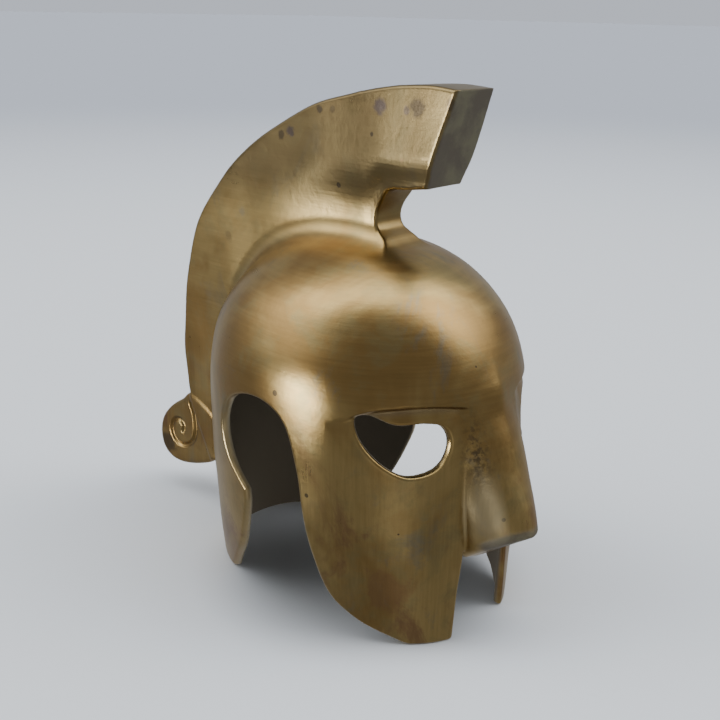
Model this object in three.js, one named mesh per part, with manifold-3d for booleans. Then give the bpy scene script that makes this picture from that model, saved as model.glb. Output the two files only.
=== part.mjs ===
// A Corinthian helmet cast in brass as a desk ornament, in millimetres, +Z up.
// The face looks along -Y and x = 0 is the plane of symmetry. While it is built, y = 0 is the axis
// of the skull bowl and z = 0 is the surface that it stands on; the origin is then moved to the
// middle of the whole casting.
import * as THREE from "three";
import { mergeVertices } from "three/addons/utils/BufferGeometryUtils.js";
import Module from "manifold-3d";

// Driving dimensions.
const wall = 3.2;
const bowl = {
  halfWidth: 53.8, // at its widest height
  front: 63.1,
  back: 67.3,
  widestAt: 81.6,
  top: 142,
  domePower: 2.22, // 2 would be an ellipse
  squareness: 2.18,
};
const hem = { halfWidth: 44.3, front: 61.6, back: 69.3 }; // the wall's outside at z = 0
const mouth = { halfTop: 12.9, halfBottom: 16.4, top: 44 };
const browRecess = 1.8; // how far the eye's upper edge lies behind the brow
const scrollHalf = 10.4;
const floorDepth = 12; // how far each part runs on below z = 0 before it is cut level

// Rows of numbers under named columns.
function table(columns, rows) {
  return rows.map((row) => Object.fromEntries(columns.map((name, i) => [name, row[i]])));
}

// The edge of the ear opening, from the cheek guard's foot up over the ear to the neck guard's tip.
const earEdge = [
  { y: -52, z: -2 },
  { y: -46, z: 2.4 },
  { y: -34, z: 8.7 },
  { y: -24.2, z: 17.8 },
  { y: -18.6, z: 33.7 },
  { y: -15.6, z: 50 },
  { y: -13.2, z: 68 },
  { y: -8.6, z: 82.4 },
  { y: 1.5, z: 88.3 },
  { y: 14, z: 87.8 },
  { y: 25, z: 82 },
  { y: 30.2, z: 70.5 },
  { y: 26.5, z: 58.8 },
];
const neckEdge = [
  { y: 14.8, z: 48.4 }, // the cusp under the ear
  { y: 16, z: 40 },
  { y: 23.6, z: 21 },
  { y: 32, z: 9 },
  { y: 40, z: -2 },
];
// The eye opening on the wearer's right, by x and z, from its inner end along the lower lid.
const eyeEdge = [
  { x: -21.2, z: 82 },
  { x: -22.9, z: 74.8 },
  { x: -27, z: 70.9 },
  { x: -34.5, z: 69.6 },
  { x: -41, z: 74.4 },
  { x: -45, z: 82.2 },
  { x: -45.8, z: 89.6 },
  { x: -43.4, z: 91.4 },
  { x: -37.4, z: 88.6 },
  { x: -29.5, z: 88.9 },
  { x: -23.6, z: 87.4 },
];
// The shallow hollow under the brow, by x and z: the brow's edge, then back through the eye opening.
const socketEdge = [
  { x: -13.5, z: 92.6 },
  { x: -26, z: 94.6 },
  { x: -35.4, z: 94.5 },
  { x: -43.6, z: 92.6 },
  { x: -40, z: 84 },
  { x: -27, z: 78 },
  { x: -15.5, z: 72 },
];
// The nose-piece by height: y of its ridge, and half its width at the ridge and at the cheeks.
const nose = [
  { z: 108, ridge: -56, ridgeHalf: 9, rootHalf: 16 },
  { z: 97, ridge: -63.8, ridgeHalf: 8.6, rootHalf: 17 },
  { z: 88, ridge: -65.6, ridgeHalf: 7.2, rootHalf: 17.2 },
  { z: 77, ridge: -69.6, ridgeHalf: 5.2, rootHalf: 16.6 },
  { z: 64, ridge: -74.8, ridgeHalf: 4.2, rootHalf: 15.4 },
  { z: 52, ridge: -79.6, ridgeHalf: 3.6, rootHalf: 14.2 },
  { z: 46, ridge: -81, ridgeHalf: 3.2, rootHalf: 13.6 },
  { z: 38, ridge: -72, ridgeHalf: 1.6, rootHalf: 13 },
  { z: 33, ridge: -65.4, ridgeHalf: 1.2, rootHalf: 12.4 },
  { z: 29.5, ridge: -60.8, ridgeHalf: 1, rootHalf: 3 },
];
// Ribs of the crest from its front face over the bowl to the neck. Each runs from its root to its
// edge, given by y and z, and has half its thickness at the root, at the waist and the belly, which
// lie so far up from the root. At the edge all are as thick.
const crestEdgeHalf = 10;
const crest = table(
  ["edgeY", "edgeZ", "rootY", "rootZ", "rootHalf", "waistUp", "waistHalf", "bellyUp", "bellyHalf"],
  [
    [-45.6, 197.6, -34, 164, 8.6, 4, 10.8, 9, 11.8],
    [-34, 198.4, -25, 162.6, 8.4, 4, 10.6, 9, 11.8],
    [-22, 197.7, -16, 161.4, 7.8, 4, 9.4, 10, 11.8],
    [-16, 196.9, -11.8, 157, 7, 4, 7.6, 14.5, 11.8],
    [-11, 196.1, -9.2, 151.5, 6.6, 5, 6.8, 20, 11.7],
    [-7, 195.4, -9.8, 146, 7.8, 7, 6.8, 25, 11.6],
    [-4, 194.8, -13, 141.6, 11, 10, 7.2, 30, 11.6],
    [0, 194, -6, 138.6, 15, 13, 7.8, 33, 11.5],
    [20, 188.6, 10, 138.2, 15.5, 13, 8.8, 31, 11.2],
    [41, 178.8, 26, 133.4, 15.5, 12, 9.8, 27, 10.8],
    [58, 168.8, 35.5, 130.8, 15.2, 12, 10.2, 24, 10.6],
    [74, 155.4, 44, 126, 15, 11, 10.4, 20, 10.5],
    [90.6, 134, 55.5, 113, 14.5, 10, 10.6, 20, 10.5],
    [99.8, 107, 62, 97, 14, 9, 10.6, 20, 10.5],
    [102.7, 82, 64.2, 80, 13.5, 9, 10.6, 20, 10.5],
    [102.2, 66, 64.6, 64, 13.5, 9, 10.6, 20, 10.5],
    [99, 48, 65.2, 46, 13.5, 9, 10.6, 20, 10.5],
    [86, 24, 66, 30, 13, 8, 10.4, 14, 10.4],
  ],
);
// The lobe at the crest's lower end, which curls into a volute, by y and z.
const lobe = [
  { y: 99.5, z: 52.4 },
  { y: 107.6, z: 47.8 },
  { y: 116.2, z: 41.8 },
  { y: 122.6, z: 34.6 },
  { y: 124.8, z: 27.4 },
  { y: 123.2, z: 20.6 },
  { y: 118.4, z: 16.4 },
  { y: 110.6, z: 15 },
  { y: 99, z: 17.3 },
  { y: 86, z: 22.8 },
  { y: 80, z: 30 },
  { y: 82, z: 44 },
];
const volute = { y: 107.4, z: 33.4, outer: 12.4, inner: 3.2, turns: 1.4, height: 1.1, width: 2.6 };

const wasm = await Module();
wasm.setup();

// ---- from meshes to solids and back -------------------------------------------------------------

function solidOf(geometry) {
  const bare = geometry.index ? geometry.toNonIndexed() : geometry.clone();
  for (const name of Object.keys(bare.attributes)) {
    if (name !== "position") bare.deleteAttribute(name);
  }
  const merged = mergeVertices(bare, 1e-4);
  const mesh = new wasm.Mesh({
    numProp: 3,
    vertProperties: merged.attributes.position.array,
    triVerts: new Uint32Array(merged.index.array),
  });
  return new wasm.Manifold(mesh);
}

function geometryOf(solid) {
  const mesh = solid.getMesh();
  const position = new THREE.BufferAttribute(new Float32Array(mesh.vertProperties), 3);
  const geometry = new THREE.BufferGeometry();
  geometry.setAttribute("position", position);
  geometry.setIndex(new THREE.BufferAttribute(new Uint32Array(mesh.triVerts), 1));
  return geometry;
}

// A closed solid from rings with the same number of points, each end closed by a fan. The rings run
// anticlockwise as seen from the last one.
function loft(rings) {
  const points = rings.flat().map((p) => [p.x, p.y, p.z]);
  const n = rings[0].length;
  const faces = [];
  for (let r = 0; r + 1 < rings.length; r++) {
    for (let i = 0; i < n; i++) {
      const a = r * n + i;
      const b = r * n + ((i + 1) % n);
      faces.push(a, b, b + n, a, b + n, a + n);
    }
  }
  for (const [ring, first, turn] of [
    [rings[0], 0, false],
    [rings.at(-1), (rings.length - 1) * n, true],
  ]) {
    const centre = ring.reduce((sum, p) => sum.add(p), new THREE.Vector3()).divideScalar(n);
    points.push([centre.x, centre.y, centre.z]);
    for (let i = 0; i < n; i++) {
      const pair = [first + i, first + ((i + 1) % n)];
      if (!turn) pair.reverse();
      faces.push(points.length - 1, ...pair);
    }
  }
  const geometry = new THREE.BufferGeometry();
  geometry.setAttribute("position", new THREE.Float32BufferAttribute(points.flat(), 3));
  geometry.setIndex(faces);
  return solidOf(geometry);
}

function boxSolid(from, to) {
  const size = new THREE.Vector3().subVectors(to, from);
  const geometry = new THREE.BoxGeometry(size.x, size.y, size.z);
  geometry.translate((from.x + to.x) / 2, (from.y + to.y) / 2, (from.z + to.z) / 2);
  return solidOf(geometry);
}

function mirrored(solid) {
  return solid.mirror([1, 0, 0]);
}

// Points along a smooth curve through rows with the two named columns.
function smooth(rows, columns, count) {
  const through = rows.map((row) => new THREE.Vector2(row[columns[0]], row[columns[1]]));
  return new THREE.SplineCurve(through).getPoints(count);
}

// ---- the skull bowl and its hem -----------------------------------------------------------------

// Half width, front and back of the level section at height z, the given inset inside the bowl.
function sectionAt(z, inset) {
  const top = bowl.top - inset;
  const rise = THREE.MathUtils.clamp((z - bowl.widestAt) / (top - bowl.widestAt), 0, 1);
  const dome = Math.pow(1 - Math.pow(rise, bowl.domePower), 1 / bowl.domePower);
  const drop = Math.max(0, 1 - z / bowl.widestAt);
  const at = (key) => (bowl[key] + (hem[key] - bowl[key]) * drop * drop - inset) * dome;
  return { halfWidth: at("halfWidth"), front: at("front"), back: at("back") };
}

// How far from the axis an ordinate lies on a section when the other one is given.
function across(given, givenMost, most) {
  const n = bowl.squareness;
  const share = Math.min(1, Math.abs(given) / givenMost);
  return most * Math.pow(1 - Math.pow(share, n), 1 / n);
}

function ringAt(z, inset, count) {
  const s = sectionAt(z, inset);
  const power = 2 / bowl.squareness;
  const ring = [];
  for (let i = 0; i < count; i++) {
    const turn = (2 * Math.PI * i) / count;
    const c = Math.cos(turn);
    const d = Math.sin(turn);
    const x = s.halfWidth * Math.sign(c) * Math.pow(Math.abs(c), power);
    const y = (d > 0 ? s.back : s.front) * Math.sign(d) * Math.pow(Math.abs(d), power);
    ring.push(new THREE.Vector3(x, y, z));
  }
  return ring;
}

function bowlSolid(inset, count, levelsBelow, levelsAbove) {
  const rings = [];
  for (let i = 0; i <= levelsBelow; i++) {
    const z = -floorDepth + ((bowl.widestAt + floorDepth) * i) / levelsBelow;
    rings.push(ringAt(Math.max(z, -floorDepth), inset, count));
  }
  const rise = bowl.top - inset - bowl.widestAt;
  for (let i = 1; i <= levelsAbove; i++) {
    const turn = (Math.PI / 2) * (i / (levelsAbove + 0.35));
    rings.push(ringAt(bowl.widestAt + rise * Math.sin(turn), inset, count));
  }
  return loft(rings);
}

// A cutter whose sides run straight at the bowl's axis through an outline drawn on its surface. Its
// layers lie at shares of the outline's distance from the axis, two of them close about the wall.
function radialCutter(drawn, innerShare, outerShare) {
  const shares = [innerShare, Math.max(innerShare, 0.92) + 0.001, 1.02, outerShare];
  const clockwise = THREE.ShapeUtils.isClockWise(drawn.map((p) => p.flat));
  const outline = clockwise ? [...drawn].reverse() : drawn;
  const flat = outline.map((p) => p.flat);
  const triangles = THREE.ShapeUtils.triangulateShape(flat, []);
  const n = outline.length;
  const points = [];
  for (const share of shares) {
    for (const { place } of outline) points.push(place.x * share, place.y * share, place.z);
  }
  const faces = [];
  const last = (shares.length - 1) * n;
  for (const [a, b, c] of triangles) faces.push(a, b, c, c + last, b + last, a + last);
  for (let layer = 0; layer < last; layer += n) {
    for (let i = 0; i < n; i++) {
      const a = layer + i;
      const b = layer + ((i + 1) % n);
      faces.push(a, a + n, b + n, a, b + n, b);
    }
  }
  const geometry = new THREE.BufferGeometry();
  geometry.setAttribute("position", new THREE.Float32BufferAttribute(points, 3));
  geometry.setIndex(faces);
  const solid = solidOf(geometry);
  if (solid.volume() > 0) return solid;
  geometry.setIndex(faces.reverse());
  return solidOf(geometry);
}

// Outline points on the wearer's right side, from y and z.
function onSide(p) {
  const s = sectionAt(Math.max(p.y, 0), 0);
  const x = -across(p.x, p.x > 0 ? s.back : s.front, s.halfWidth);
  return { flat: p, place: new THREE.Vector3(x, p.x, p.y) };
}

// Outline points on the right half of the face, from x and z.
function onFace(p) {
  const s = sectionAt(p.y, 0);
  return { flat: p, place: new THREE.Vector3(p.x, -across(p.x, s.halfWidth, s.front), p.y) };
}

function earOpening() {
  const edge = [...smooth(earEdge, ["y", "z"], 40), ...smooth(neckEdge, ["y", "z"], 12)];
  const below = [new THREE.Vector2(40, -floorDepth), new THREE.Vector2(-52, -floorDepth)];
  return radialCutter([...edge, ...below].map(onSide), 0.45, 2.2);
}

function eyeOpening() {
  const edge = smooth([...eyeEdge, eyeEdge[0]], ["x", "z"], 40).slice(0, -1);
  return radialCutter(edge.map(onFace), 0.6, 1.4);
}

function socket() {
  const upper = smooth(socketEdge.slice(0, 4), ["x", "z"], 10);
  const lower = socketEdge.slice(4).map((p) => new THREE.Vector2(p.x, p.z));
  const wedge = radialCutter([...upper, ...lower].map(onFace), 0.7, 1.4);
  return wedge.subtract(bowlSolid(browRecess, 72, 7, 10));
}

// The gap between the cheek guards, a little wider at the floor.
function mouthGap() {
  const half = (z) => mouth.halfBottom + ((mouth.halfTop - mouth.halfBottom) * z) / mouth.top;
  const ring = (z) => [
    new THREE.Vector3(-half(z), -100, z),
    new THREE.Vector3(half(z), -100, z),
    new THREE.Vector3(half(z), -30, z),
    new THREE.Vector3(-half(z), -30, z),
  ];
  return loft([ring(-floorDepth), ring(mouth.top)]);
}

// ---- nose-piece, crest and volute ---------------------------------------------------------------

// One column of a table, followed smoothly from row to row.
function followed(values, at) {
  const i = Math.min(Math.floor(at), values.length - 2);
  const value = (k) => values[THREE.MathUtils.clamp(k, 0, values.length - 1)];
  const slopeIn = (value(i + 1) - value(i - 1)) / 2;
  const slopeOut = (value(i + 2) - value(i)) / 2;
  const rise = value(i + 1) - value(i);
  const t = at - i;
  const bend = 3 * rise - 2 * slopeIn - slopeOut;
  const twist = slopeIn + slopeOut - 2 * rise;
  return value(i) + slopeIn * t + bend * t * t + twist * t ** 3;
}

function nosePiece() {
  const rootY = -54;
  const steps = 3;
  const upwards = [...nose].reverse();
  const rings = [];
  for (let k = 0; k <= (nose.length - 1) * steps; k++) {
    const row = {};
    for (const key of Object.keys(nose[0])) {
      row[key] = followed(
        upwards.map((r) => r[key]),
        k / steps,
      );
    }
    const s = sectionAt(row.z, 0);
    const cheekY = Math.max(row.ridge, -across(row.rootHalf, s.halfWidth, s.front)) + 0.4;
    const side = (sign) => [
      new THREE.Vector3(sign * row.rootHalf, rootY, row.z),
      new THREE.Vector3(sign * row.rootHalf, cheekY, row.z),
      new THREE.Vector3(sign * row.ridgeHalf, row.ridge + 1.4, row.z),
      new THREE.Vector3(sign * row.ridgeHalf * 0.45, row.ridge, row.z),
    ];
    rings.push([...side(-1), ...side(1).reverse()]);
  }
  return loft(rings);
}

function crestRing(at) {
  const value = (key) =>
    followed(
      crest.map((rib) => rib[key]),
      at,
    );
  const root = new THREE.Vector2(value("rootY"), value("rootZ"));
  const edge = new THREE.Vector2(value("edgeY"), value("edgeZ"));
  const length = root.distanceTo(edge);
  const bevel = 1;
  const outline = [
    [0, value("rootHalf")],
    [value("waistUp") / 2, (value("rootHalf") + 2 * value("waistHalf")) / 3],
    [value("waistUp"), value("waistHalf")],
    [(value("waistUp") + value("bellyUp")) / 2, (value("waistHalf") + value("bellyHalf")) / 2],
    [value("bellyUp"), value("bellyHalf")],
    [length - bevel, crestEdgeHalf],
    [length, crestEdgeHalf - bevel],
  ];
  const place = ([up, half], sign) => {
    const p = root.clone().lerp(edge, up / length);
    return new THREE.Vector3(sign * half, p.x, p.y);
  };
  return [...outline.map((o) => place(o, -1)), ...[...outline].reverse().map((o) => place(o, 1))];
}

function crestSolid() {
  const steps = 3;
  const rings = [];
  for (let k = 0; k <= (crest.length - 1) * steps; k++) rings.push(crestRing(k / steps));
  return loft(rings);
}

// A flat outline, by y and z, made as thick as twice half, about the plane of symmetry.
function slab(outline, half) {
  const shape = new THREE.Shape(outline);
  const geometry = new THREE.ExtrudeGeometry(shape, { depth: 2 * half, bevelEnabled: false });
  geometry.translate(0, 0, -half);
  const turn = new THREE.Matrix4().makeBasis(
    new THREE.Vector3(0, 1, 0),
    new THREE.Vector3(0, 0, 1),
    new THREE.Vector3(1, 0, 0),
  );
  return solidOf(geometry.applyMatrix4(turn));
}

function lobeSolid() {
  return slab(smooth([...lobe, lobe[0]], ["y", "z"], 44).slice(0, -1), scrollHalf);
}

// The raised fillet that winds into the volute on both sides of the lobe.
function voluteSolid() {
  const steps = 30;
  const side = (offset) => {
    const points = [];
    for (let k = 0; k <= steps; k++) {
      const share = k / steps;
      const middle = volute.outer + (volute.inner - volute.outer) * share;
      const radius = middle + offset * (1 - 0.3 * share);
      const turn = Math.PI * (0.72 + 2 * volute.turns * share);
      const y = volute.y + radius * Math.cos(turn);
      const z = volute.z + radius * Math.sin(turn);
      points.push(new THREE.Vector2(y, z));
    }
    return points;
  };
  const outline = [...side(volute.width / 2), ...side(-volute.width / 2).reverse()];
  return slab(outline, scrollHalf + volute.height);
}

// ---- the whole casting --------------------------------------------------------------------------

function helmetSolid() {
  const hollow = bowlSolid(wall, 56, 6, 7);
  const eye = eyeOpening();
  const ear = earOpening();
  const recess = socket();
  const reach = 300;
  const low = new THREE.Vector3(-reach, -reach, 0);
  const aboveFloor = boxSolid(low, new THREE.Vector3(reach, reach, reach));
  return bowlSolid(0, 72, 7, 10)
    .subtract(recess)
    .subtract(mirrored(recess))
    .subtract(mouthGap())
    .add(nosePiece())
    .add(crestSolid())
    .add(lobeSolid())
    .add(voluteSolid())
    .subtract(hollow)
    .subtract(eye)
    .subtract(mirrored(eye))
    .subtract(ear)
    .subtract(mirrored(ear))
    .intersect(aboveFloor);
}

const geometry = geometryOf(helmetSolid());
geometry.computeBoundingBox();
const box = geometry.boundingBox;
geometry.translate(0, -(box.min.y + box.max.y) / 2, -box.min.z);
geometry.computeVertexNormals();

const brass = new THREE.MeshStandardMaterial({ color: 0x9a7d45, roughness: 0.38, metalness: 1 });
const helmet = new THREE.Mesh(geometry, brass);
helmet.name = "helmet";

const group = new THREE.Group();
group.add(helmet);
export default group;
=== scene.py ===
import math

import bpy
import numpy as np
from mathutils import Matrix, Vector


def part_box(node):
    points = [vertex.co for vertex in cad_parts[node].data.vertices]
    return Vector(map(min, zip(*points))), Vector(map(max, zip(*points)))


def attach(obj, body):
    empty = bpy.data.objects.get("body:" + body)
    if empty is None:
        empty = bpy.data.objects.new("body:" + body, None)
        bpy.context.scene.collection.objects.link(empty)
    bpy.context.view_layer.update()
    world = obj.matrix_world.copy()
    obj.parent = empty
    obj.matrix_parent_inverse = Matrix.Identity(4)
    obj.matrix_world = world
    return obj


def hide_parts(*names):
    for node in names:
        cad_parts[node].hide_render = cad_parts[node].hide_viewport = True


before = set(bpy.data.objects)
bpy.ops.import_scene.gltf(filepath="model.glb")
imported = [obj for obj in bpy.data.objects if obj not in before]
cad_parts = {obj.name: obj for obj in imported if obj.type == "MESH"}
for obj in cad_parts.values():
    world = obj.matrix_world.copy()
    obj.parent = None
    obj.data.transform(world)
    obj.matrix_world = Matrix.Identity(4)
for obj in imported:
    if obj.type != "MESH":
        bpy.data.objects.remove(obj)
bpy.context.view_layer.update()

# The casting is worked out in millimetres about the axis of its skull bowl, with the face
# towards -Y and the surface it stands on at z = 0. It moves into the frame at the end.
mm = 0.001
lobeRear = 124.8  # how far behind the bowl's axis the casting ends
bowlAxis = Vector((0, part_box("helmet")[1].y - lobeRear * mm, 0))

bowl = {
    "halfWidth": 53.8,
    "front": 63.1,
    "back": 67.3,
    "widestAt": 81.6,
    "top": 142,
    "domePower": 2.22,
    "squareness": 2.18,
    "hemSquareness": 0.22,  # how much squarer the cheeks are at their feet
    "hemHalfWidth": 44.3,
    "hemFront": 61.6,
    "hemBack": 69.3,
    "wall": 3.2,
    "rimRound": 1.3,
    "hem": (0.2, 1),  # the height that its feet are cut off at, and their rounding
}

# edges by y and z, from the cheek guard's foot over the ear and down to the neck guard
earEdge = [
    (-54, -3), (-46, 2.4), (-34, 8.7), (-24.2, 17.8), (-18.6, 33.7), (-15.6, 50), (-13.2, 68),
    (-8.6, 82.4), (1.5, 88.3), (14, 87.8), (25, 82), (30.2, 70.5), (26.5, 58.8), (14.8, 48.4),
]
neckEdge = [(14.8, 48.4), (16, 40), (23.6, 21), (32, 9), (41, -3)]

# by x and z, both on the wearer's right
eyeEdge = [
    (-21.2, 82), (-22.9, 74.8), (-27, 70.9), (-34.5, 69.6), (-41, 74.4), (-45, 82.2),
    (-45.8, 89.6), (-43.4, 91.4), (-37.4, 88.6), (-29.5, 88.9), (-23.6, 87.4),
]
eyeTurn = (20, 40)  # where the eye's cut turns from straight back to the bowl's axis, by x
brow = {
    "edge": [(-4, 92.2), (-13.5, 92.6), (-26, 94.6), (-35.4, 94.5), (-43.6, 92.6), (-49, 88)],
    "depth": 2.1,  # how far the eye lies behind the brow
    "fade": 17,  # and how far down that hollow runs out
    "reach": (4, 49),  # from the nose outwards
    "inner": (11, 19),  # where the hollow starts and is full, from the nose outwards
    "outer": (50, 43),  # and where it has ended and is still full
    "step": 2.2,  # how softly the brow breaks into it
}

mouth = {"halfTop": 12.9, "halfBottom": 15.4, "top": 44, "behind": -30}

# height, y of the ridge, half width at the ridge and at the cheeks, swell of the flanks
nose = {
    "rows": [
        (118, -52.5, 9, 15, 0), (108, -58.6, 8.8, 16, 0), (98, -63.7, 8.2, 16.8, 0.4),
        (88, -66.2, 7, 17.2, 1), (77, -70.4, 5.2, 17, 2.6), (64, -75.4, 4.2, 15.8, 4.2),
        (52, -79.9, 3.6, 14.6, 5.4), (44, -82.5, 3.2, 13.6, 5.4), (28, -88, 3, 12, 5),
    ],
    "keel": [(-62, 31), (-81, 44.6)],  # its underside's middle line, by y and z
    "wing": (-12.6, -61.6, 34.8),  # where the underside's facet starts at the cheek
    "ridgeRound": (6.5, 1.6),  # at the brow and at the tip
    "flankRound": 8,
    "underRound": (0.7, 3.2),  # at the ridge and at the wing
    "underReach": (3, 11),
    "cheekRound": 1.1,
    "middleRound": 2.2,  # squared, so that no edge runs down the middle
    "shoulder": 0.6,  # where the flanks turn, from the ridge to the cheek
    "leastDeep": 0.55,  # how deep the flanks are at least, as a share of their width
    "ridgeLean": 0.93,  # cosine of the ridge's slope
    "tipEnds": 48,
    "browStarts": 88,
    "behind": -46,
}

# y and z of the edge and of the root, half thickness at waist and belly and how far up each lies
crest = {
    "ribs": [
        (-45.6, 197.6, -34, 164, 10.2, 3, 11.8, 8.5),
        (-34, 198.4, -25, 162.6, 10, 3, 11.8, 9),
        (-22, 197.7, -16, 161.4, 9.2, 3, 11.8, 10),
        (-16, 196.9, -11.8, 157, 7.6, 4, 11.8, 14.5),
        (-11, 196.1, -9.2, 151.5, 6.8, 5, 11.7, 20),
        (-7, 195.4, -9.8, 146, 6.8, 7, 11.6, 25),
        (-4, 194.8, -13, 141.6, 7.2, 10, 11.6, 30),
        (0, 194, -6, 138.6, 7.8, 13, 11.5, 33),
        (20, 188.6, 10, 138.2, 8.8, 13, 11.2, 31),
        (41, 178.8, 26, 133.4, 9.8, 12, 10.8, 27),
        (58, 168.8, 35.5, 130.8, 10.2, 12, 10.6, 24),
        (74, 155.4, 44, 126, 10.4, 11, 10.5, 20),
        (90.6, 134, 55.5, 113, 10.5, 10, 10.5, 20),
        (99.8, 107, 62, 97, 10.5, 9, 10.5, 20),
        (102.7, 82, 64.2, 80, 10.5, 9, 10.5, 20),
        (102.2, 66, 64.6, 64, 10.5, 9, 10.5, 20),
        (99, 48, 65.2, 46, 10.5, 9, 10.5, 20),
        (86, 24, 66, 30, 10.4, 8, 10.4, 14),
    ],
    "edgeHalf": 10.7,
    "cornerRound": 1.5,
    "rootFillet": 8.5,
}

lobe = {
    "edge": [
        (99.5, 52.4), (107.6, 47.8), (116.2, 41.8), (122.6, 34.6), (124.8, 27.4), (123.2, 20.6),
        (118.4, 16.4), (110.6, 15), (99, 17.3), (86, 22.8), (80, 30), (82, 44),
    ],
    "half": 10.4,
    "groove": [
        (100.4, 47.5), (98.4, 43), (97.6, 36), (99.2, 29.6), (103.8, 25.7), (109.2, 24.4),
        (113.8, 26.6), (115.6, 30.8), (113.6, 35.4), (109.6, 37), (106.4, 34.8), (107, 31.8),
    ],
    "grooveHalf": 0.85,
    "grooveLift": 0.2,  # of its middle from the lobe's side
    "grooveRound": 0.7,
    "cornerRound": 2,
    "rootFillet": 1.5,
}

finish = {
    "grid": 0.8,
    "quickGrid": 1.6,
    "triangles": 190000,
    "unevenness": 0.1,  # what hand polishing leaves, in millimetres
    "seed": 7,
    "slopeReach": 0.05,  # how far apart the shape is read for its slope
    "normalReach": 0.12,
    "noseTip": -82.0,
    "top": 198.4,
    "room": 3.3,  # of the grid round the casting
}


# A smooth curve through points, closed or not.
def through(points, perSpan=10, closed=False):
    p = np.array(points, float)
    if closed:
        p = np.vstack([p[-1], p, p[0], p[1]])
    else:
        p = np.vstack([2 * p[0] - p[1], p, 2 * p[-1] - p[-2]])
    t = np.linspace(0, 1, perSpan, endpoint=False)[:, None]
    spans = []
    for a, b, c, d in zip(p, p[1:], p[2:], p[3:]):
        slopeIn, slopeOut = (c - a) / 2, (d - b) / 2
        bend = 3 * (c - b) - 2 * slopeIn - slopeOut
        twist = slopeIn + slopeOut - 2 * (c - b)
        spans.append(b + slopeIn * t + bend * t**2 + twist * t**3)
    curve = np.vstack(spans)
    return curve if closed else np.vstack([curve, p[-2]])


# Distances from a flat curve on a fine lattice, below zero inside it if it is closed. The answer
# reads them at any place.
def distanceTo(curve, closed=True, step=0.3, margin=14):
    low, high = curve.min(0) - margin, curve.max(0) + margin
    count = np.ceil((high - low) / step).astype(int) + 1
    us, vs = (low[k] + step * np.arange(count[k]) for k in (0, 1))
    u, v = np.meshgrid(us, vs, indexing="ij")
    nearest = np.full(u.shape, 1e9)
    inside = np.zeros(u.shape, bool)
    ends = np.roll(curve, -1, axis=0) if closed else curve[1:]
    for a, b in zip(curve, ends):
        du, dv = b - a
        along = np.clip(((u - a[0]) * du + (v - a[1]) * dv) / (du * du + dv * dv + 1e-12), 0, 1)
        np.minimum(nearest, (u - a[0] - along * du) ** 2 + (v - a[1] - along * dv) ** 2, out=nearest)
        if closed and dv != 0:
            crosses = (a[1] > v) != (b[1] > v)
            inside ^= crosses & (u < a[0] + (v - a[1]) * du / dv)
    values = np.sqrt(nearest)
    values[inside] *= -1
    return lattice(values, low, step)


# Reads values on a lattice at any place, straight between its points.
def lattice(values, low, step):
    last = np.array(values.shape) - 2

    def at(u, v):
        i, j = (u - low[0]) / step, (v - low[1]) / step
        i, j = np.clip(i, 0, last[0] + 0.999), np.clip(j, 0, last[1] + 0.999)
        a, b = i.astype(int), j.astype(int)
        s, t = i - a, j - b
        near = values[a, b] * (1 - s) + values[a + 1, b] * s
        far = values[a, b + 1] * (1 - s) + values[a + 1, b + 1] * s
        return near * (1 - t) + far * t

    return at


def joined(a, b, fillet):
    near = np.maximum(fillet - np.abs(a - b), 0)
    return np.minimum(a, b) - near * near / (4 * fillet)


def cut(a, b, rounding):
    return -joined(-a, -b, rounding)


# Each part of the casting is a distance that is below zero in the metal.
def bowlShape(x, y, z):
    b = bowl
    p = b["domePower"]
    drop = np.clip(1 - z / b["widestAt"], 0, 2)
    n = b["squareness"] + b["hemSquareness"] * np.where(y < 0, np.minimum(drop, 1) ** 2, 0)
    slope = np.where(drop > 0, -2 * drop / b["widestAt"], 0)
    half = b["halfWidth"] + (b["hemHalfWidth"] - b["halfWidth"]) * drop**2
    halfSlope = (b["hemHalfWidth"] - b["halfWidth"]) * slope
    ahead = y < 0
    reach = np.where(ahead, b["front"], b["back"])
    spread = np.where(ahead, b["hemFront"] - b["front"], b["hemBack"] - b["back"])
    depth = reach + spread * drop**2
    across, along = np.abs(x) / half, np.abs(y) / depth
    level = np.maximum((across**n + along**n) ** (1 / n), 1e-3)
    rise = np.clip((z - b["widestAt"]) / (b["top"] - b["widestAt"]), 0, None)
    gauge = (level**p + rise**p) ** (1 / p)
    pull = level ** (1 - n)
    toX = pull * across ** (n - 1) / half
    toY = pull * along ** (n - 1) / depth
    toZ = -pull * (across**n * halfSlope / half + along**n * spread * slope / depth)
    share = (level / gauge) ** (p - 1)
    toRise = (rise / gauge) ** (p - 1) / (b["top"] - b["widestAt"])
    steep = np.sqrt((share * toX) ** 2 + (share * toY) ** 2 + (share * toZ + toRise) ** 2)
    flatGauge = level / np.maximum(1 - np.minimum(rise, 0.95) ** p, 0.05) ** (1 / p)
    return (gauge - 1) / np.maximum(steep, 0.012), flatGauge


def browHollow(x, y, z, gauge):
    flat = x / gauge
    below = browLine(np.clip(flat, *brow["reach"])) - z
    starts, full = brow["inner"]
    inward = np.clip((flat - starts) / (full - starts), 0, 1)  # it runs out towards the nose
    inward = inward * inward * (3 - 2 * inward)
    ends, still = brow["outer"]
    outward = np.clip((ends - flat) / (ends - still), 0, 1)
    step = np.clip(below / brow["step"] + 0.5, 0, 1)
    step = step * step * (3 - 2 * step)
    fading = np.clip(1 - below / brow["fade"], 0, 1)
    ahead = np.clip(-y / 20 - 0.5, 0, 1)  # none of it beside the ears
    return brow["depth"] * step * fading * fading * inward * outward * ahead


# A plane along the nose through a place at its cheek side and one nearer its ridge.
def flank(x, y, outerX, outerY, innerX, innerY):
    run, rise = outerX - innerX, outerY - innerY
    return ((x - innerX) * rise - (y - innerY) * run) / np.hypot(run, rise)


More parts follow.
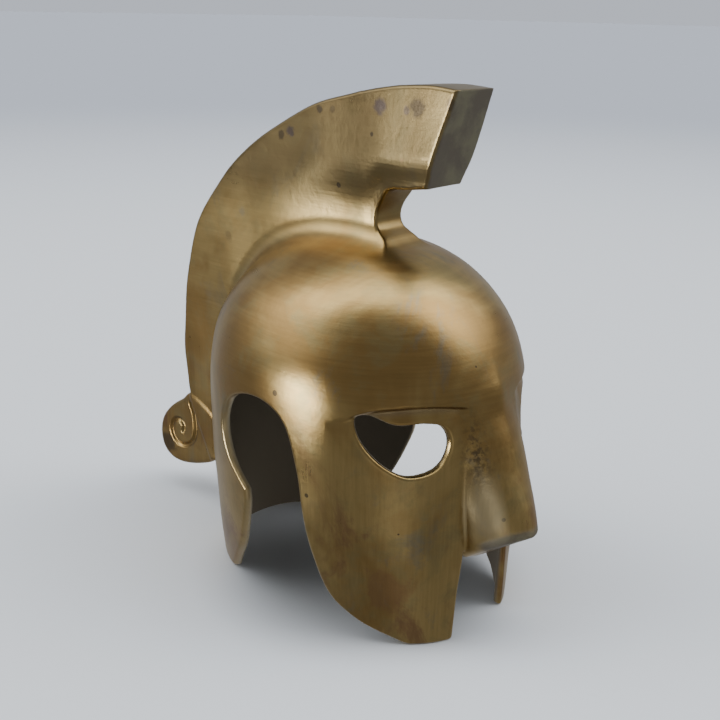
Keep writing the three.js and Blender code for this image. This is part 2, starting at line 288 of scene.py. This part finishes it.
def noseShape(x, y, z):
    x = np.sqrt(x * x + nose["middleRound"])
    columns = (np.interp(z, noseRows[:, 0], noseRows[:, k]) for k in range(1, 6))
    ridge, ridgeHalf, rootHalf, swell, cheek = columns
    wide = rootHalf - ridgeHalf
    deep = np.maximum(cheek - ridge, nose["leastDeep"] * wide)
    length = np.hypot(wide, deep)
    shoulderX = ridgeHalf + nose["shoulder"] * wide + swell * deep / length
    shoulderY = ridge + nose["shoulder"] * deep - swell * wide / length
    side = cut(
        flank(x, y, rootHalf, ridge + deep, shoulderX, shoulderY),
        flank(x, y, shoulderX, shoulderY, ridgeHalf, ridge),
        nose["flankRound"],
    )
    low = np.clip((z - nose["tipEnds"]) / (nose["browStarts"] - nose["tipEnds"]), 0, 1)
    body = cut(side, (ridge - y) * nose["ridgeLean"], np.interp(low, (0, 1), nose["ridgeRound"][::-1]))
    body = cut(body, facet(x, y, z), np.interp(x, nose["underReach"], nose["underRound"]))
    return np.maximum(body, np.maximum(y - nose["behind"], z - noseRows[-1, 0]))


# Above zero under the slanting underside of the nose.
def facet(x, y, z):
    return facetNormal[0] * x + facetNormal[1] * y + facetNormal[2] * z - facetPlace


def crestShape(x, y, z):
    return cut(x - crestHalf(y, z), crestEdge(y, z), crest["cornerRound"])


def lobeShape(x, y, z):
    body = cut(x - lobe["half"], lobeEdge(y, z), lobe["cornerRound"])
    trough = np.hypot(grooveLine(y, z), x - lobe["half"] + lobe["grooveLift"]) - lobe["grooveHalf"]
    return cut(body, -trough, lobe["grooveRound"])


# The eye is cut straight back beside the nose and towards the bowl's axis at its outer end.
def eyeCut(x, y, z, gauge):
    starts, ends = eyeTurn
    turning = np.clip((x - starts) / (ends - starts), 0, 1)
    return np.where(y < 0, eyeHole(-x / gauge**turning, z), 20)  # no eyes at the back


# The whole casting without its unevenness. Points are rows of x, y, z.
def castingShape(points):
    x, y, z = np.abs(points[:, 0]), points[:, 1], points[:, 2]
    outside, gauge = bowlShape(x, y, z)
    sunk = browHollow(x, y, z, gauge)
    gapHalf = mouth["halfBottom"] + (mouth["halfTop"] - mouth["halfBottom"]) * z / mouth["top"]
    gap = np.maximum(np.maximum(x - gapHalf, z - mouth["top"]), y - mouth["behind"])
    body = cut(outside, -gap, bowl["rimRound"])
    body = joined(body, noseShape(x, y, z), nose["cheekRound"]) + sunk
    body = joined(body, crestShape(x, y, z), crest["rootFillet"])
    body = joined(body, lobeShape(x, y, z), lobe["rootFillet"])
    body = cut(body, -(outside + sunk + bowl["wall"]), bowl["rimRound"])
    body = cut(body, -eyeCut(x, y, z, gauge), bowl["rimRound"])
    body = cut(body, -earHole(y / gauge, z), bowl["rimRound"])
    return cut(body, bowl["hem"][0] - z, bowl["hem"][1])


print("outlines of the openings, crest and lobe")
earHole = distanceTo(np.vstack([through(earEdge), through(neckEdge), [(41, -20), (-54, -20)]]))
eyeHole = distanceTo(through(eyeEdge, closed=True))
lobeEdge = distanceTo(through(lobe["edge"], closed=True))
grooveLine = distanceTo(through(lobe["groove"]), closed=False)

browPoints = through([(-x, z) for x, z in brow["edge"]])
browLine = lambda x: np.interp(x, browPoints[:, 0], browPoints[:, 1])

noseRows = through(nose["rows"], perSpan=16)[::-1]
drop = np.clip(1 - noseRows[:, 0] / bowl["widestAt"], 0, 1)
levelHalf = bowl["halfWidth"] + (bowl["hemHalfWidth"] - bowl["halfWidth"]) * drop**2
levelFront = bowl["front"] + (bowl["hemFront"] - bowl["front"]) * drop**2
squareness = bowl["squareness"] + bowl["hemSquareness"] * drop**2
rise = np.clip((noseRows[:, 0] - bowl["widestAt"]) / (bowl["top"] - bowl["widestAt"]), 0, 1)
level = (1 - rise ** bowl["domePower"]) ** (1 / bowl["domePower"])
share = noseRows[:, 3] / levelHalf
cheekY = levelFront * (level**squareness - share**squareness) ** (1 / squareness)
noseRows = np.column_stack([noseRows, -cheekY])
keelStart, keelEnd = (np.array((0, *p), float) for p in nose["keel"])
wing = np.array(nose["wing"], float) * (-1, 1, 1)
facetNormal = np.cross(keelEnd - keelStart, wing - keelStart)
facetNormal /= np.linalg.norm(facetNormal) * -np.sign(facetNormal[2])
facetPlace = facetNormal @ keelStart

ribs = through(crest["ribs"], perSpan=12)
crestEdge = distanceTo(np.vstack([ribs[:, :2], ribs[::-1, 2:4]]))


# Half the crest's thickness over its whole side, from its ribs.
def crestThickness():
    places, halves = [], []
    for rib in ribs:
        length = math.hypot(rib[0] - rib[2], rib[1] - rib[3])
        up = np.arange(-12, length + 6, 0.5)
        swell = np.clip((up - rib[5]) / max(rib[7] - rib[5], 1), 0, 1)
        swell = swell * swell * (3 - 2 * swell)
        half = rib[4] + (rib[6] - rib[4]) * swell
        taper = np.clip((up - rib[7]) / (length - rib[7]), 0, 1)
        half += (crest["edgeHalf"] - rib[6]) * taper * taper * (3 - 2 * taper)
        share = (up / length)[:, None]
        places.append(rib[2:4] + (rib[0:2] - rib[2:4]) * share)
        halves.append(half)
    places, halves = np.vstack(places), np.concatenate(halves)
    step, margin = 1.5, 12
    spreads, evenings = 30, 7  # over the ribs' gaps, and of the steps left between them
    low = places.min(0) - margin
    count = np.ceil((places.max(0) + margin - low) / step).astype(int) + 1
    cell = np.round((places - low) / step).astype(int)
    index = cell[:, 0] * count[1] + cell[:, 1]
    weight = np.bincount(index, minlength=count.prod()).reshape(count).astype(float)
    total = np.bincount(index, weights=halves, minlength=count.prod()).reshape(count)
    # what the ribs reach spreads over their gaps and beyond their ends
    known = weight > 0
    values = np.where(known, total / np.maximum(weight, 1), 0)
    filled = known.astype(float)
    for _ in range(spreads):
        heavy = np.zeros_like(filled)
        summed = np.zeros_like(filled)
        for di in (-1, 0, 1):
            for dj in (-1, 0, 1):
                heavy += np.roll(filled, (di, dj), (0, 1))
                summed += np.roll(filled * values, (di, dj), (0, 1))
        new = (filled == 0) & (heavy > 0)
        values[new] = summed[new] / heavy[new]
        filled[new] = 1
    values[filled == 0] = crest["edgeHalf"]
    beside = ((0, 0), (1, 0), (-1, 0), (0, 1), (0, -1))
    for _ in range(evenings):
        values = sum(np.roll(values, shift, (0, 1)) for shift in beside) / len(beside)
    return lattice(values, low, step)


crestHalf = crestThickness()


dice = np.random.default_rng(finish["seed"])
waves = [
    (dice.normal(size=3) * 2 * math.pi / length, dice.uniform(0, 2 * math.pi), length / 40)
    for length in (22, 27, 34, 41, 55, 70)
]


def casting(points):
    ripple = sum(np.sin(points @ wave + start) * size for wave, start, size in waves)
    return castingShape(points) + finish["unevenness"] * ripple * 0.5


def uphill(points, reach):
    steps = np.eye(3) * reach
    return np.column_stack([casting(points + s) - casting(points - s) for s in steps]) / (2 * reach)


def unit(vectors):
    return vectors / np.maximum(np.linalg.norm(vectors, axis=1), 1e-9)[:, None]


# Moves points onto the surface along its slope.
def settled(points, rounds):
    for _ in range(rounds):
        slope = uphill(points, finish["slopeReach"])
        height = casting(points) / np.maximum((slope**2).sum(1), 0.04)
        points = points - slope * np.clip(height, -0.6, 0.6)[:, None]
    return points


# Values of the shape on a grid, worked out only near the surface.
def sampled(low, high, step):
    block = 4
    count = (np.ceil((high - low) / (step * block)).astype(int)) * block
    blocks = count // block
    halfway = [(np.arange(n) + 0.5) * block * step for n in blocks]
    centres = np.stack(np.meshgrid(*halfway, indexing="ij"), -1)
    rough = castingShape(centres.reshape(-1, 3) + low).reshape(blocks)
    close = np.abs(rough) < block * step * 1.9
    values = np.repeat(np.repeat(np.repeat(np.sign(rough) * 9, block, 0), block, 1), block, 2)
    corner = np.argwhere(close) * block
    inner = np.stack(np.meshgrid(*[np.arange(block)] * 3, indexing="ij"), -1).reshape(-1, 3)
    cells = (corner[:, None] + inner).reshape(-1, 3)
    for part in np.array_split(cells, max(1, len(cells) // 400000)):
        values[part[:, 0], part[:, 1], part[:, 2]] = castingShape(part * step + low)
    return values


# Quads round every grid edge that the surface crosses. Each cell's point is where the planes of
# its crossings meet best, so that edges stay edges.
def dualMesh(values, low, step):
    size = np.array(values.shape)
    owners, planes, ats, quads = [], [], [], []
    crossings = []
    for axis in range(3):
        first = [slice(1, -1)] * 3
        second = [slice(1, -1)] * 3
        second[axis] = slice(2, None)
        a, b = values[tuple(first)], values[tuple(second)]
        place = np.argwhere((a < 0) != (b < 0)) + 1
        near = values[place[:, 0], place[:, 1], place[:, 2]]
        beyond = place.copy()
        beyond[:, axis] += 1
        far = values[beyond[:, 0], beyond[:, 1], beyond[:, 2]]
        at = place.astype(float)
        at[:, axis] += near / (near - far)
        crossings.append((axis, place, at * step + low, near < 0))
    allAt = np.vstack([c[2] for c in crossings])
    allAt = settled(allAt, 1)
    slopes = unit(uphill(allAt, finish["slopeReach"]))
    start = 0
    for axis, place, at, inward in crossings:
        at, slope = allAt[start:start + len(at)], slopes[start:start + len(at)]
        start += len(at)
        u, v = [k for k in range(3) if k != axis]
        around = []
        for du, dv in ((-1, -1), (0, -1), (0, 0), (-1, 0)):
            cell = place.copy()
            cell[:, u] += du
            cell[:, v] += dv
            around.append((cell * (size[1] * size[2], size[2], 1)).sum(1))
            owners.append(around[-1])
            planes.append(slope)
            ats.append(at)
        ring = np.column_stack(around)
        turned = inward if axis != 1 else ~inward
        ring[~turned] = ring[~turned][:, ::-1]
        quads.append(ring)
    owners, planes, ats = np.concatenate(owners), np.vstack(planes), np.vstack(ats)
    cells, index = np.unique(owners, return_inverse=True)
    count = np.bincount(index).astype(float)
    middle = np.column_stack([np.bincount(index, weights=ats[:, k]) for k in range(3)]) / count[:, None]
    offset = (planes * (ats - middle[index])).sum(1)
    matrix = np.zeros((len(cells), 3, 3))
    for i in range(3):
        for j in range(3):
            matrix[:, i, j] = np.bincount(index, weights=planes[:, i] * planes[:, j])
        matrix[:, i, i] += 0.08 * count
    side = np.column_stack([np.bincount(index, weights=planes[:, k] * offset) for k in range(3)])
    moved = np.linalg.solve(matrix, side[:, :, None])[:, :, 0]
    moved = np.clip(moved, -0.75 * step, 0.75 * step)
    faces = np.searchsorted(cells, np.vstack(quads))
    return middle + moved, faces


def meshFrom(name, points, faces):
    mesh = bpy.data.meshes.new(name)
    mesh.vertices.add(len(points))
    mesh.vertices.foreach_set("co", points.astype(np.float32).ravel())
    mesh.loops.add(faces.size)
    mesh.loops.foreach_set("vertex_index", faces.astype(np.int32).ravel())
    mesh.polygons.add(len(faces))
    starts = np.arange(0, faces.size, faces.shape[1], dtype=np.int32)
    mesh.polygons.foreach_set("loop_start", starts)
    mesh.update(calc_edges=True)
    mesh.validate()
    return mesh


def pointsOf(mesh):
    flat = np.zeros(len(mesh.vertices) * 3, np.float32)
    mesh.vertices.foreach_get("co", flat)
    return flat.reshape(-1, 3).astype(float)


def helmetPiece():
    step = finish["grid"]
    low = np.array((-bowl["halfWidth"], finish["noseTip"], 0.0)) - finish["room"]
    high = np.array((bowl["halfWidth"], lobeRear, finish["top"])) + finish["room"]
    values = sampled(low, high, step)
    print("shape sampled on", values.shape)
    points, faces = dualMesh(values, low, step)
    print("first mesh", len(points), "points", len(faces), "quads")
    points = settled(points, 2)
    mesh = meshFrom("helmet_casting", points, faces)
    piece = bpy.data.objects.new("helmet_casting", mesh)
    bpy.context.scene.collection.objects.link(piece)
    thin = piece.modifiers.new("thin", "DECIMATE")
    thin.ratio = finish["triangles"] / (2 * len(faces))
    evaluated = piece.evaluated_get(bpy.context.evaluated_depsgraph_get())
    thinned = bpy.data.meshes.new_from_object(evaluated)
    piece.modifiers.remove(thin)
    piece.data = thinned
    bpy.data.meshes.remove(mesh)
    mesh = thinned
    points = settled(pointsOf(mesh), 2)
    normals = unit(uphill(points, finish["normalReach"]))
    marks(mesh, points, normals)
    mesh.vertices.foreach_set("co", (points * mm + np.array(bowlAxis)).astype(np.float32).ravel())
    mesh.polygons.foreach_set("use_smooth", np.ones(len(mesh.polygons), bool))
    mesh.update()
    mesh.normals_split_custom_set_from_vertices(normals.astype(np.float32))
    print("helmet", len(mesh.vertices), "points", len(mesh.polygons), "faces")
    return piece


# where the finish changes
marked = {
    "hollowStarts": 0.45,  # shares of the wall's thickness
    "hollowBlend": 0.3,
    "crestFacing": 0.8,  # how squarely the crest's uncleaned front looks ahead
    "crestAbove": 160,
    "underFacet": 3.4,  # how far the nose's uncleaned end reaches above its facet
    "underAhead": 65,
    "underBelow": 54,
    "rimWidth": 0.9,
}

# patches of the nose by x and z, their half width and height, and how far forward they start
nosePatches = {
    "grainy": {"x": 13.5, "z": 77, "wide": 5, "high": 17, "ahead": -55, "gain": 1},
    # a painted highlight: the bright golden band on the nose's flanks
    "paintedNoseHighlight": {"x": 12.4, "z": 56, "wide": 4.5, "high": 15, "ahead": -61, "gain": 2},
}


def nosePatch(x, y, z, patch):
    across = np.clip(1 - np.abs(x - patch["x"]) / patch["wide"], 0, 1)
    upwards = np.clip(1 - np.abs(z - patch["z"]) / patch["high"], 0, 1)
    return np.clip(across * upwards * (y < patch["ahead"]) * patch["gain"], 0, 1)


# What the finish follows: the raw hollow, faces left as cast, the nose's grain and painted highlight,
# and worn rims.
def marks(mesh, points, normals):
    x, y, z = np.abs(points[:, 0]), points[:, 1], points[:, 2]
    outside, gauge = bowlShape(x, y, z)
    wall = bowl["wall"]
    hollow = np.clip(-(outside + wall * marked["hollowStarts"]) / (wall * marked["hollowBlend"]), 0, 1)
    hollow *= crestEdge(y, z) > -1
    crestFront = np.clip((-normals[:, 1] - marked["crestFacing"]) / 0.1, 0, 1)
    crestFront *= z > marked["crestAbove"]
    underNose = np.clip((facet(x, y, z) + marked["underFacet"]) / 1.2, 0, 1)
    underNose *= np.clip((-y - marked["underAhead"]) / 4, 0, 1) * (z < marked["underBelow"])
    made = {
        "hollow": hollow,
        "uncleaned": np.maximum(crestFront, underNose),
        "rim": np.clip(1 - np.abs(earHole(y / gauge, z)) / marked["rimWidth"], 0, 1),
    }
    for name, patch in nosePatches.items():
        made[name] = nosePatch(x, y, z, patch)
    for name, values in made.items():
        layer = mesh.attributes.new(name, "FLOAT", "POINT")
        layer.data.foreach_set("value", values.astype(np.float32))


helmet = helmetPiece()


# Adds a shader node. Inputs are values, or sockets to link from.
def added(tree, kind, inputs=(), **settings):
    made = tree.nodes.new("ShaderNode" + kind)
    for key, value in settings.items():
        setattr(made, key, value)
    for key, value in dict(inputs).items():
        if isinstance(value, bpy.types.NodeSocket):
            tree.links.new(value, made.inputs[key])
        else:
            made.inputs[key].default_value = value
    return made


def maths(tree, operation, a, b=0.0, c=0.0):
    return added(tree, "Math", {0: a, 1: b, 2: c}, operation=operation).outputs[0]


def times(tree, a, b):
    return maths(tree, "MULTIPLY", a, b)


# From 0 to 1 as a value goes from low to high.
def ramped(tree, value, low, high):
    given = {"Value": value, "From Min": low, "From Max": high}
    return added(tree, "MapRange", given, interpolation_type="SMOOTHSTEP").outputs[0]


def blended(tree, share, under, over):
    given = {"Factor": share, 6: under, 7: over}
    return added(tree, "Mix", given, data_type="RGBA", clamp_factor=True).outputs[2]


def noised(tree, place, scale, detail=3.0, roughness=0.55, distortion=0.0):
    given = {"Vector": place, "Scale": scale, "Detail": detail, "Roughness": roughness}
    return added(tree, "TexNoise", {**given, "Distortion": distortion}).outputs[0]


def distanced(tree, place, middle):
    return added(tree, "VectorMath", {0: place, 1: middle}, operation="DISTANCE").outputs["Value"]


def stretched(tree, place, scale):
    return added(tree, "VectorMath", {0: place, 1: scale}, operation="MULTIPLY").outputs[0]


brass = {
    "gold": (0.40, 0.285, 0.115, 1),
    "brown": (0.285, 0.18, 0.065, 1),
    "olive": (0.26, 0.215, 0.10, 1),
    "red": (0.235, 0.13, 0.07, 1),
    "grey": (0.20, 0.185, 0.14, 1),
    "tarnish": (0.17, 0.13, 0.065, 1),
    "asCastPale": (0.135, 0.125, 0.078, 1),
    "asCast": (0.085, 0.073, 0.056, 1),
    "soot": (0.15, 0.122, 0.08, 1),
    "bright": (0.80, 0.68, 0.44, 1),
    "violet": (0.10, 0.08, 0.078, 1),
    "dark": (0.07, 0.055, 0.04, 1),
    "roughness": 0.27,
}

# how strongly each layer covers what lies under it, and how much brushing and relief show
layerStrengths = {
    "olive": 0.55,
    "red": 0.75,
    "grey": 0.6,
    "tarnish": 0.75,
    "freckles": 0.8,
    "asCast": 0.9,
    "grain": 0.75,
    "paintedNoseHighlight": 0.4,
    # strength of the painted highlight on the nose's flanks
    "rim": 0.3,
    "brushing": 0.34,
    "relief": 0.35,
}
# heights in metres between which the finish changes
levels = {"brushing": (0.07, 0.10), "red": (0.105, 0.03), "tarnish": (0.14, 0.165)}

# stains by place from the bowl's axis in millimetres, with their radius, strength and colour
stains = [
    ((-10.5, -13.2, 190.6), 3.4, 0.8, "violet"),
    ((-10.5, -29, 191), 3.8, 0.75, "dark"),
    ((-10.5, -25, 189.5), 2, 0.6, "violet"),
    ((-10.5, -44, 193), 2.4, 0.6, "dark"),
    ((-11, -9.7, 180.5), 0.9, 0.85, "dark"),
    ((-11, -24, 173), 1.4, 0.4, "red"),
    ((-10.5, 16.6, 187), 1.5, 0.8, "dark"),
    ((-10.5, 10, 187.6), 1.3, 0.5, "dark"),
    ((-10.5, 31.7, 177.5), 2.8, 0.8, "violet"),
    ((-10.5, 37, 176), 1.7, 0.7, "dark"),
    ((-10.4, 61, 143), 3, 0.45, "grey"),
    ((-10.4, 70, 132), 3, 0.35, "dark"),
    ((-10.2, 118, 22), 4.5, 0.7, "dark"),
    ((10.5, -14, 186), 5, 0.6, "dark"),
    ((11, 30, 166), 4.5, 0.6, "violet"),
    ((44, 16, 108), 6, 0.4, "red"),
    ((40, -34, 60), 8, 0.4, "red"),
    ((30, 60, 40), 9, 0.4, "grey"),
    ((-34, -44, 24), 11, 0.45, "red"),
    ((-30, -49, 52), 8, 0.3, "brown"),
]


# From 0 to 1 near the listed stains of one colour, with ragged borders.
def stained(tree, place, ragged, colour):
    total = None
    for centre, radius, strength, kind in stains:
        if kind != colour:
            continue
        away = distanced(tree, place, tuple(Vector(centre) * mm + bowlAxis))
        away = maths(tree, "ADD", times(tree, away, 1 / (radius * mm)), ragged)
        near = times(tree, ramped(tree, away, 1.15, 0.55), strength)
        total = near if total is None else maths(tree, "MAXIMUM", total, near)
    return total


def brassFinish():
    material = bpy.data.materials.new("cast_brass")
    material.use_nodes = True
    tree = material.node_tree
    shader = tree.nodes["Principled BSDF"]
    place = added(tree, "TexCoord").outputs["Object"]
    hollow, uncleaned, grainy, paintedNoseHighlight, rim = (
        added(tree, "Attribute", attribute_name=name).outputs["Fac"]
        for name in ("hollow", "uncleaned", "grainy", "paintedNoseHighlight", "rim")
    )
    height = added(tree, "SeparateXYZ", {0: place}).outputs["Z"]

    cloud = noised(tree, place, 17, 4, 0.6, 0.6)
    mottle = noised(tree, place, 62, 5, 0.65, 0.3)
    patches = noised(tree, stretched(tree, place, (1, 1, 0.6)), 38, 5, 0.7, 0.8)
    fine = noised(tree, place, 420, 3, 0.6)
    # brushing lies along the bowl and crest, and upright on the cheeks
    lying = noised(tree, stretched(tree, place, (40, 40, 900)), 1, 3, 0.6)
    upright = noised(tree, stretched(tree, place, (900, 900, 45)), 1, 3, 0.6)
    share = ramped(tree, height, *levels["brushing"])
    brushed = added(tree, "Mix", {0: share, 2: upright, 3: lying}).outputs[0]

    # the patina, in clouds and patches, streaked by the brushing
    colour = blended(tree, ramped(tree, cloud, 0.40, 0.62), brass["gold"], brass["brown"])
    olive = times(tree, ramped(tree, mottle, 0.48, 0.68), layerStrengths["olive"])
    colour = blended(tree, olive, colour, brass["olive"])
    reddish = times(tree, ramped(tree, patches, 0.52, 0.68), ramped(tree, height, *levels["red"]))
    colour = blended(tree, times(tree, reddish, layerStrengths["red"]), colour, brass["red"])
    dulled = times(tree, ramped(tree, patches, 0.44, 0.28), layerStrengths["grey"])
    colour = blended(tree, dulled, colour, brass["grey"])
    tone = maths(tree, "MULTIPLY_ADD", brushed, layerStrengths["brushing"], 0.83)
    colour = added(tree, "VectorMath", {0: colour, "Scale": tone}, operation="SCALE").outputs[0]
    tarnish = times(tree, ramped(tree, height, *levels["tarnish"]), layerStrengths["tarnish"])
    colour = blended(tree, tarnish, colour, brass["tarnish"])

    ragged = maths(tree, "MULTIPLY_ADD", mottle, 4.2, -2.1)
    for kind in ("brown", "red", "grey", "violet", "dark"):
        colour = blended(tree, stained(tree, place, ragged, kind), colour, brass[kind])
    freckles = added(tree, "TexVoronoi", {"Vector": place, "Scale": 115.0, "Randomness": 1.0})
    chosen = added(tree, "SeparateXYZ", {0: freckles.outputs["Color"]}).outputs["X"]
    size = times(tree, ramped(tree, chosen, 0.86, 1.0), 0.16)
    freckle = maths(tree, "LESS_THAN", freckles.outputs["Distance"], size)
    colour = blended(tree, times(tree, freckle, layerStrengths["freckles"]), colour, brass["dark"])

    # what was left as cast, and a painted highlight on the nose's flanks
    asCast = blended(tree, ramped(tree, mottle, 0.4, 0.62), brass["asCast"], brass["asCastPale"])
    colour = blended(tree, times(tree, uncleaned, layerStrengths["asCast"]), colour, asCast)
    speckle = times(tree, grainy, ramped(tree, fine, 0.46, 0.58))
    colour = blended(tree, times(tree, speckle, layerStrengths["grain"]), colour, brass["dark"])
    # painted highlight on the nose's flanks, in the polished brass colour
    colour = blended(tree, times(tree, paintedNoseHighlight, layerStrengths["paintedNoseHighlight"]), colour, brass["bright"])
    colour = blended(tree, hollow, colour, brass["soot"])
    colour = blended(tree, times(tree, rim, layerStrengths["rim"]), colour, brass["bright"])
    tree.links.new(colour, shader.inputs["Base Color"])

    raw = maths(tree, "MAXIMUM", hollow, times(tree, uncleaned, 0.8))
    metal = maths(tree, "SUBTRACT", 1.0, times(tree, raw, 0.75))
    tree.links.new(metal, shader.inputs["Metallic"])
    rough = maths(tree, "MULTIPLY_ADD", mottle, 0.16, brass["roughness"] - 0.08)
    rough = maths(tree, "ADD", rough, times(tree, brushed, 0.08))
    rough = maths(tree, "ADD", rough, times(tree, grainy, 0.12))
    rough = maths(tree, "MAXIMUM", rough, times(tree, raw, 0.62))
    tree.links.new(rough, shader.inputs["Roughness"])

    # hammering and sand grain too fine for the mesh
    relief = times(tree, fine, maths(tree, "MULTIPLY_ADD", grainy, 5.0, 0.25))
    relief = maths(tree, "ADD", relief, times(tree, mottle, 0.5))
    relief = maths(tree, "ADD", relief, times(tree, brushed, 0.16))
    relief = maths(tree, "SUBTRACT", relief, times(tree, freckle, 1.5))
    given = {"Height": relief, "Strength": layerStrengths["relief"], "Distance": 0.0004}
    tree.links.new(added(tree, "Bump", given).outputs[0], shader.inputs["Normal"])
    return material


helmet.data.materials.append(brassFinish())
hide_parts("helmet")
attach(helmet, "root")
print("brass finish")


view = {
    "azimuth": 47.65,
    "elevation": 19.31,
    "roll": -1.18,
    "lens": 50,
    "sensor": 36,
    "place": (-0.27571, -0.24732, 0.22147),  # from the bowl's axis
}


def cameraPlaced():
    e, a, r = (math.radians(view[key]) for key in ("elevation", "azimuth", "roll"))
    ahead = Vector((math.sin(a) * math.cos(e), math.cos(a) * math.cos(e), -math.sin(e)))
    right = Vector((math.cos(a), -math.sin(a), 0))
    down = ahead.cross(right)
    turnedRight = math.cos(r) * right + math.sin(r) * down
    turnedDown = -math.sin(r) * right + math.cos(r) * down
    data = bpy.data.cameras.new("camera")
    data.lens, data.sensor_width = view["lens"], view["sensor"]
    data.clip_start, data.clip_end = 0.01, 60
    camera = bpy.data.objects.new("camera", data)
    turn = Matrix((turnedRight, -turnedDown, -ahead)).transposed()
    camera.matrix_world = Matrix.Translation(Vector(view["place"]) + bowlAxis) @ turn.to_4x4()
    bpy.context.scene.collection.objects.link(camera)
    bpy.context.scene.camera = camera


studio = {
    "backdrop": (0.575, 0.615, 0.69, 1),
    "floor": (0.76, 0.80, 0.85, 1),
    "floorFarShaded": (0.42, 0.455, 0.525, 1),
    "paintedShadowUnderHelmet": (0.30, 0.31, 0.32, 1),
    "floorFades": (0.25, 2.2),  # from the one floor colour to the other, the far one a painted shade towards the horizon
    "floorHalf": 25,  # in metres, as are the places of its painted shade towards the horizon and of its painted shadow under the helmet
    "shade": (0.075, 0.03),
    "floorRoughness": 0.7,
    "glow": (0.97, 0.985, 1, 1),
    "room": 0.30,
    "behind": 0.46,
    "overhead": 4.4,
}
# soft lights by azimuth and elevation in degrees, their bright and outer radius and their strength
softLights = [
    (-66, -9, 4, 15, 20),
    (-136, -22, 5, 20, 0.4),
    (-42, 32, 8, 34, 1.1),
    (132, 40, 8, 34, 1.1),
]


def heading(azimuth, elevation):
    a, e = math.radians(azimuth), math.radians(elevation)
    return (math.sin(a) * math.cos(e), math.cos(a) * math.cos(e), math.sin(e))


def floorLaid():
    mesh = bpy.data.meshes.new("floor")
    reach = studio["floorHalf"]
    corners = [(-reach, -reach, 0), (reach, -reach, 0), (reach, reach, 0), (-reach, reach, 0)]
    mesh.from_pydata(corners, [], [(0, 1, 2, 3)])
    floor = bpy.data.objects.new("floor", mesh)
    material = bpy.data.materials.new("pale_floor")
    material.use_nodes = True
    tree = material.node_tree
    shader = tree.nodes["Principled BSDF"]
    place = added(tree, "TexCoord").outputs["Object"]
    away = added(tree, "VectorMath", {0: place}, operation="LENGTH").outputs["Value"]
    # painted shade: the floor darkens with distance towards the horizon
    fading = ramped(tree, away, *studio["floorFades"])
    colour = blended(tree, fading, studio["floor"], studio["floorFarShaded"])
    # painted shadow: the floor darkens towards the bowl's axis under the helmet
    inside = distanced(tree, place, tuple(bowlAxis))
    colour = blended(tree, ramped(tree, inside, *studio["shade"]), colour, studio["paintedShadowUnderHelmet"])
    tree.links.new(colour, shader.inputs["Base Color"])
    shader.inputs["Roughness"].default_value = studio["floorRoughness"]
    # the brass mirrors the room's light below the horizon too, in place of the floor
    mirrored = added(tree, "LightPath").outputs["Is Glossy Ray"]
    clear = added(tree, "BsdfTransparent").outputs[0]
    laid = added(tree, "MixShader", {0: mirrored, 1: shader.outputs[0], 2: clear}).outputs[0]
    tree.links.new(laid, tree.nodes["Material Output"].inputs["Surface"])
    mesh.materials.append(material)
    bpy.context.scene.collection.objects.link(floor)


def worldLit():
    world = bpy.data.worlds.new("studio")
    world.use_nodes = True
    tree = world.node_tree
    background = tree.nodes["Background"]
    direction = added(tree, "TexCoord").outputs["Generated"]

    def towards(way):
        dot = added(tree, "VectorMath", {0: direction, 1: way}, operation="DOT_PRODUCT")
        return dot.outputs["Value"]

    up = added(tree, "SeparateXYZ", {0: direction}).outputs["Z"]
    across = towards(heading(view["azimuth"], 0))
    light = times(tree, ramped(tree, across, -0.3, 0.8), studio["behind"] - studio["room"])
    light = maths(tree, "ADD", light, studio["room"])
    band = ramped(tree, maths(tree, "ABSOLUTE", across), 0.38, 0.0)
    band = times(tree, band, ramped(tree, up, 0.05, 0.9))
    light = maths(tree, "ADD", light, times(tree, band, studio["overhead"]))
    for azimuth, elevation, inner, outer, strength in softLights:
        near = towards(heading(azimuth, elevation))
        spot = ramped(tree, near, math.cos(math.radians(outer)), math.cos(math.radians(inner)))
        light = maths(tree, "ADD", light, times(tree, spot, strength))
    seen = added(tree, "LightPath").outputs["Is Camera Ray"]
    lit = added(tree, "Background", {"Color": studio["glow"], "Strength": light})
    background.inputs["Color"].default_value = studio["backdrop"]
    shown = added(tree, "MixShader", {0: seen, 1: lit.outputs[0], 2: background.outputs[0]})
    tree.links.new(shown.outputs[0], tree.nodes["World Output"].inputs["Surface"])
    bpy.context.scene.world = world


cameraPlaced()
floorLaid()
worldLit()
print("camera, floor and light")
